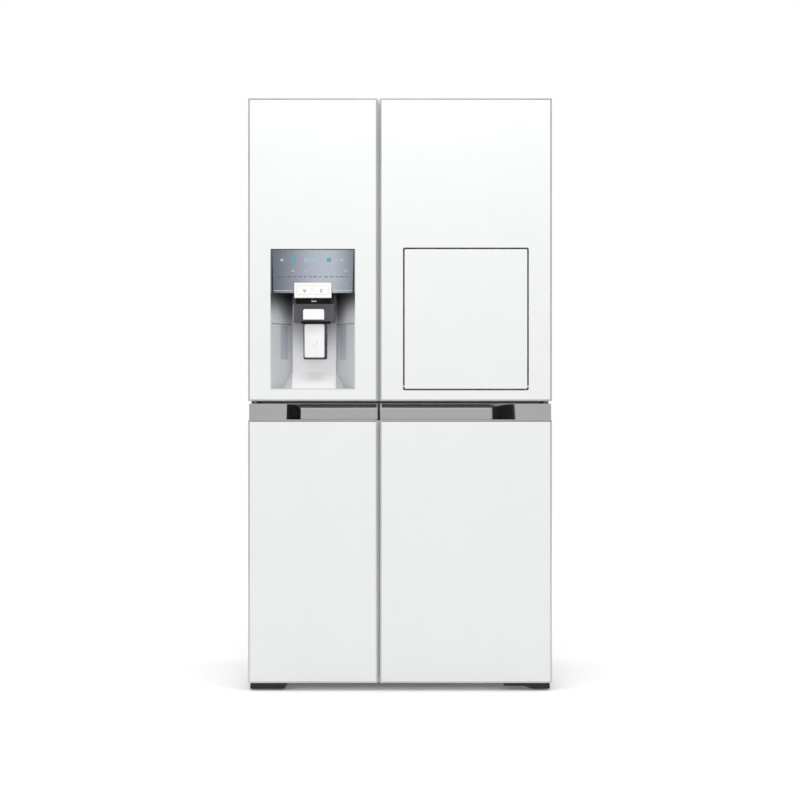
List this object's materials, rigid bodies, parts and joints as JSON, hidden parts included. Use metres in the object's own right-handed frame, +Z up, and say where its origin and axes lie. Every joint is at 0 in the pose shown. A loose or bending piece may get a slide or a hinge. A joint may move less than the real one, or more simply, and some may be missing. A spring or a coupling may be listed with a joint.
{
  "type": "side by side refrigerator",
  "caption": "White side by side refrigerator with upper and lower doors, a recessed ice and water dispenser, a drop-down home bar and scooped metal grip rails.",
  "frame": {"origin": "centre of the footprint on the floor, with the doors closed", "axes": "+Z up, +X to the right as seen from the front, +Y to the back; the doors face -Y"},
  "size_m": [0.912, 0.734, 1.78],
  "materials": {
    "front_white": "back-painted glass, glossy white",
    "trim_aluminium": "satin anodised",
    "rail_metal": "fine brushed, bright",
    "shell_paint": "satin powder coat",
    "zinc_sheet": "galvanised",
    "black_steel": "black enamel",
    "hinge_steel": "zinc plated",
    "foam": "closed-cell foam",
    "liner_white": "moulded, semi-gloss",
    "gasket_grey": "soft extruded",
    "bin_clear": "clear moulded",
    "shelf_glass": "toughened",
    "cover_grey": "moulded",
    "leg_black": "moulded",
    "roller_black": "moulded",
    "fan_grey": "moulded",
    "fan_white": "moulded",
    "pan_black": "moulded",
    "coil_aluminium": "mill finish",
    "ice_maker_grey": "moulded",
    "auger_steel": "polished",
    "valve_white": "moulded",
    "housing_grey": "moulded, satin",
    "display_mirror": "tinted mirror",
    "box_white": "moulded",
    "button_white": "moulded",
    "chute_dark": "moulded",
    "paddle_white": "moulded"
  },
  "bodies": {
    "cabinet": {"outer_shell": "shell_paint", "back_panel": "zinc_sheet", "base_frame": "black_steel", "cabinet_foam": "foam", "cabinet_liners": "liner_white", "front_rails": "shell_paint", "door_hinges": "hinge_steel", "hinge_covers": "cover_grey", "leg_covers": "leg_black", "leveling_feet": "hinge_steel", "compressor": "black_steel", "condenser": "black_steel", "machine_cover": "zinc_sheet", "drain_pan": "pan_black", "evaporator": "coil_aluminium", "air_ducts": "liner_white", "ice_maker": "ice_maker_grey", "ice_bin": "bin_clear", "glass_shelves": "shelf_glass", "water_valve": "valve_white"},
    "upper_left_door": {"upper_left_panel": "front_white", "upper_left_frame": "trim_aluminium", "upper_left_liner": "liner_white", "upper_left_gasket": "gasket_grey", "upper_left_bins": "bin_clear", "dispenser_housing": "housing_grey", "display": "display_mirror", "button_box": "box_white", "ice_chute": "chute_dark", "spout": "box_white"},
    "upper_right_door": {"upper_right_panel": "front_white", "upper_right_frame": "trim_aluminium", "upper_right_liner": "liner_white", "upper_right_gasket": "gasket_grey", "upper_right_bins": "bin_clear"},
    "lower_left_door": {"lower_left_panel": "front_white", "lower_left_frame": "trim_aluminium", "lower_left_liner": "liner_white", "lower_left_gasket": "gasket_grey", "lower_left_bins": "bin_clear", "lower_left_rail": "rail_metal"},
    "lower_right_door": {"lower_right_panel": "front_white", "lower_right_frame": "trim_aluminium", "lower_right_liner": "liner_white", "lower_right_gasket": "gasket_grey", "lower_right_bins": "bin_clear", "lower_right_rail": "rail_metal"},
    "home_bar_door": {"bar_panel": "front_white", "bar_liner": "liner_white"},
    "ice_button": {"ice_button": "button_white"},
    "water_button": {"water_button": "button_white"},
    "paddle": {"paddle": "paddle_white"},
    "ice_flap": {"ice_flap": "chute_dark"},
    "roller_left": {"roller_left": "roller_black"},
    "roller_right": {"roller_right": "roller_black"},
    "condenser_fan": {"condenser_fan": "fan_grey"},
    "evaporator_fan": {"evaporator_fan": "fan_white"},
    "ice_auger": {"ice_auger": "auger_steel"},
    "freezer_drawer": {"freezer_drawer": "bin_clear"},
    "crisper_drawer": {"crisper_drawer": "bin_clear"}
  },
  "joints": [
    {"name": "upper_left_door_hinge", "type": "hinge", "parent": "cabinet", "child": "upper_left_door", "pos_m": [-0.438, -0.319, 1.3], "axis": [0, 0, -1], "range_deg": [0, 120]},
    {"name": "upper_right_door_hinge", "type": "hinge", "parent": "cabinet", "child": "upper_right_door", "pos_m": [0.438, -0.319, 1.3], "axis": [0, 0, 1], "range_deg": [0, 120]},
    {"name": "lower_left_door_hinge", "type": "hinge", "parent": "cabinet", "child": "lower_left_door", "pos_m": [-0.438, -0.319, 0.45], "axis": [0, 0, -1], "range_deg": [0, 120]},
    {"name": "lower_right_door_hinge", "type": "hinge", "parent": "cabinet", "child": "lower_right_door", "pos_m": [0.438, -0.319, 0.45], "axis": [0, 0, 1], "range_deg": [0, 120]},
    {"name": "home_bar_hinge", "type": "hinge", "parent": "upper_right_door", "child": "home_bar_door", "pos_m": [0.198, -0.36, 0.915], "axis": [1, 0, 0], "range_deg": [0, 90]},
    {"name": "paddle_hinge", "type": "hinge", "parent": "upper_left_door", "child": "paddle", "pos_m": [-0.256, -0.322, 1.1185], "axis": [1, 0, 0], "range_deg": [0, 9], "stiffness_Nm_per_rad": 0.8, "springref_deg": -5.73},
    {"name": "ice_flap_hinge", "type": "hinge", "parent": "upper_left_door", "child": "ice_flap", "pos_m": [-0.262, -0.272, 1.1175], "axis": [1, 0, 0], "range_deg": [0, 50], "stiffness_Nm_per_rad": 0.03, "springref_deg": -17.19},
    {"name": "ice_button_press", "type": "slide", "parent": "upper_left_door", "child": "ice_button", "axis": [0, 1, 0], "range_m": [0, 0.0015], "stiffness_N_per_m": 600, "springref_m": -0.0005},
    {"name": "water_button_press", "type": "slide", "parent": "upper_left_door", "child": "water_button", "axis": [0, 1, 0], "range_m": [0, 0.0015], "stiffness_N_per_m": 600, "springref_m": -0.0005},
    {"name": "freezer_drawer_slide", "type": "slide", "parent": "cabinet", "child": "freezer_drawer", "axis": [0, -1, 0], "range_m": [0, 0.09]},
    {"name": "crisper_drawer_slide", "type": "slide", "parent": "cabinet", "child": "crisper_drawer", "axis": [0, -1, 0], "range_m": [0, 0.09]},
    {"name": "evaporator_fan_spin", "type": "hinge", "parent": "cabinet", "child": "evaporator_fan", "pos_m": [-0.247, 0.25, 0.87], "axis": [0, 1, 0], "continuous": true},
    {"name": "condenser_fan_spin", "type": "hinge", "parent": "cabinet", "child": "condenser_fan", "pos_m": [-0.15, 0.286, 0.123], "axis": [1, 0, 0], "continuous": true},
    {"name": "ice_auger_spin", "type": "hinge", "parent": "cabinet", "child": "ice_auger", "pos_m": [-0.262, 0, 1.447], "axis": [0, 1, 0], "continuous": true},
    {"name": "roller_left_spin", "type": "hinge", "parent": "cabinet", "child": "roller_left", "pos_m": [-0.4, 0.301, 0.022], "axis": [1, 0, 0], "continuous": true},
    {"name": "roller_right_spin", "type": "hinge", "parent": "cabinet", "child": "roller_right", "pos_m": [0.4, 0.301, 0.022], "axis": [1, 0, 0], "continuous": true}
  ]
}
